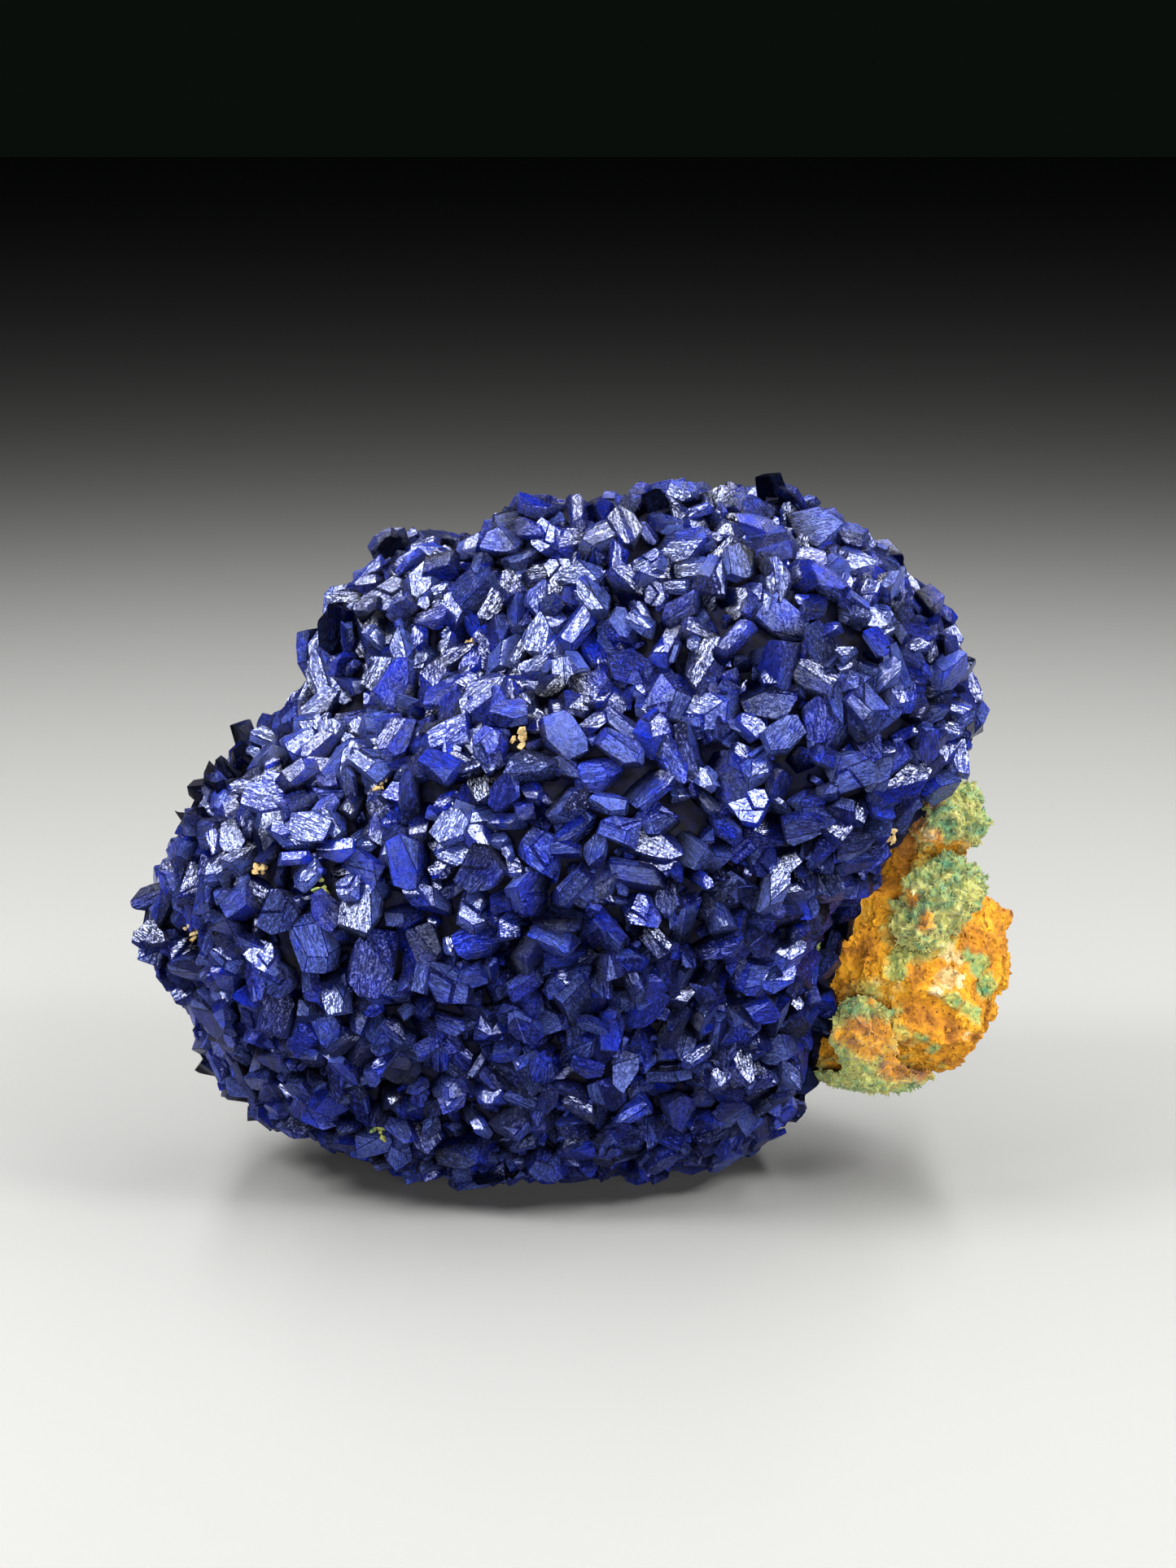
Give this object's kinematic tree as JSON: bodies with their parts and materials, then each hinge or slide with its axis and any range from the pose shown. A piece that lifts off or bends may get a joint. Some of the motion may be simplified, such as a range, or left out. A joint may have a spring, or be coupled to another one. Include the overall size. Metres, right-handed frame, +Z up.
{
  "type": "azurite specimen",
  "caption": "Free-standing lobed mass of blocky blue azurite crystals with a knob of orange limonite and crusts of green malachite at one end.",
  "frame": {"origin": "centre of the bounding box's footprint, at the height of the surface that the specimen rests on", "axes": "+X along the specimen towards the limonite, +Y away from its best side, +Z up"},
  "size_m": [0.0808, 0.0548, 0.0637],
  "materials": {
    "azurite": "glossy crystal faces in deep blue",
    "limonite": "earthy, rough and porous",
    "malachite": "dull, velvety crust"
  },
  "bodies": {
    "root": {"azurite_crystals": "azurite", "limonite_matrix": "limonite", "malachite_cap": "malachite", "malachite_cushion": "malachite", "malachite_apron": "malachite"}
  },
  "joints": []
}
